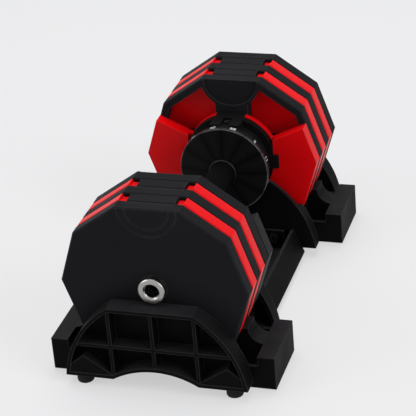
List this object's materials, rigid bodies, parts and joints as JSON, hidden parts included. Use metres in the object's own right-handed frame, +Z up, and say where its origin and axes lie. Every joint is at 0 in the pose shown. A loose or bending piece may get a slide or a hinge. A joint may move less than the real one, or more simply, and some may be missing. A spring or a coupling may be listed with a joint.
{
  "type": "adjustable dumbbell",
  "caption": "Adjustable dumbbell with ten-sided black and red plates that rests in a ribbed cradle; twisting the grip slides rods through the plates to choose the weight.",
  "frame": {"origin": "centre of the whole object in plan, on the plane of the rubber feet's undersides", "axes": "+Z up, +Y along the handle towards the rear head, +X across the cradle"},
  "size_m": [0.242, 0.43, 0.202],
  "materials": {
    "plate_black": "fine satin powder coat on steel",
    "plate_red": "satin powder coat on steel",
    "block_red": "semi-gloss paint on steel",
    "block_black": "satin paint on steel",
    "housing_black": "semi-gloss moulded nylon",
    "disc_black": "glossy moulded plastic",
    "ring_black": "satin, with white printed numbers",
    "grip_rubber": "matte, finely textured",
    "collar_metal": "satin black",
    "bright_steel": "turned and polished",
    "dark_steel": "oiled, as machined",
    "bronze": "sintered, oil-filled",
    "yellow_zinc": "yellow zinc plate",
    "insert_brass": "turned",
    "cradle_black": "fine moulded grain",
    "foot_rubber": "matte",
    "fastener_zinc": "zinc plated",
    "fastener_black": "black oxide"
  },
  "bodies": {
    "cradle": {"cradle_head_front": "cradle_black", "cradle_head_rear": "cradle_black", "cradle_tray": "cradle_black", "tray_bolts": "fastener_black", "rubber_feet": "foot_rubber", "foot_screws": "fastener_zinc", "mount_inserts": "insert_brass", "release_posts": "bright_steel"},
    "core": {"end_block_front": "block_black", "end_block_rear": "block_red", "hub_housing_front": "housing_black", "hub_housing_rear": "housing_black", "housing_screws": "fastener_zinc", "index_cover_front": "housing_black", "index_cover_rear": "housing_black", "index_screws": "fastener_black", "core_tube": "dark_steel", "tube_keys": "dark_steel", "retaining_rings": "dark_steel", "bearing_front": "bronze", "bearing_rear": "bronze", "detent_plungers": "bright_steel", "plate_1_front": "plate_black", "plate_2_front": "plate_red", "plate_3_front": "plate_black", "plate_4_front": "plate_red", "plate_5_front": "plate_black", "plate_1_rear": "plate_black", "plate_2_rear": "plate_red", "plate_3_rear": "plate_black", "plate_4_rear": "plate_red", "plate_5_rear": "plate_black", "plate_bushes_front": "bright_steel", "plate_bushes_rear": "bright_steel", "lock_spring_front": "bright_steel", "lock_spring_rear": "bright_steel"},
    "handle": {"grip": "grip_rubber", "grip_collars": "collar_metal", "cam_sleeve": "dark_steel", "flange_disc_front": "disc_black", "flange_disc_rear": "disc_black", "number_ring_front": "ring_black", "number_ring_rear": "ring_black", "ring_screws": "fastener_zinc"},
    "rod_front": {"selector_rod_front": "dark_steel", "follower_pin_front": "dark_steel"},
    "rod_rear": {"selector_rod_rear": "dark_steel", "follower_pin_rear": "dark_steel"},
    "latch_front": {"lock_pin_front": "yellow_zinc"},
    "latch_rear": {"lock_pin_rear": "yellow_zinc"}
  },
  "joints": [
    {"name": "lift", "type": "slide", "parent": "cradle", "child": "core", "axis": [0, 0, 1], "range_m": [0, 0.15]},
    {"name": "handle_twist", "type": "hinge", "parent": "core", "child": "handle", "pos_m": [0, 0, 0.112], "axis": [0, 1, 0], "range_deg": [0, 300]},
    {"name": "rod_front_slide", "type": "slide", "parent": "core", "child": "rod_front", "axis": [0, 1, 0], "range_m": [0, 0.0801]},
    {"name": "rod_rear_slide", "type": "slide", "parent": "core", "child": "rod_rear", "axis": [0, -1, 0], "range_m": [0, 0.0801]},
    {"name": "lock_pin_front_drop", "type": "slide", "parent": "core", "child": "latch_front", "axis": [0, 0, -1], "range_m": [0, 0.00401], "deforming": ["lock_spring_front"]},
    {"name": "lock_pin_rear_drop", "type": "slide", "parent": "core", "child": "latch_rear", "axis": [0, 0, -1], "range_m": [0, 0.00401], "deforming": ["lock_spring_rear"]}
  ],
  "couplings": [
    {"joint": "rod_front_slide", "follows": "handle_twist", "m_per_rad": 0.015279},
    {"joint": "rod_rear_slide", "follows": "handle_twist", "m_per_rad": 0.015279},
    {"joint": "lock_pin_front_drop", "follows": "lift", "ratio": 0.026667},
    {"joint": "lock_pin_rear_drop", "follows": "lift", "ratio": 0.026667}
  ]
}
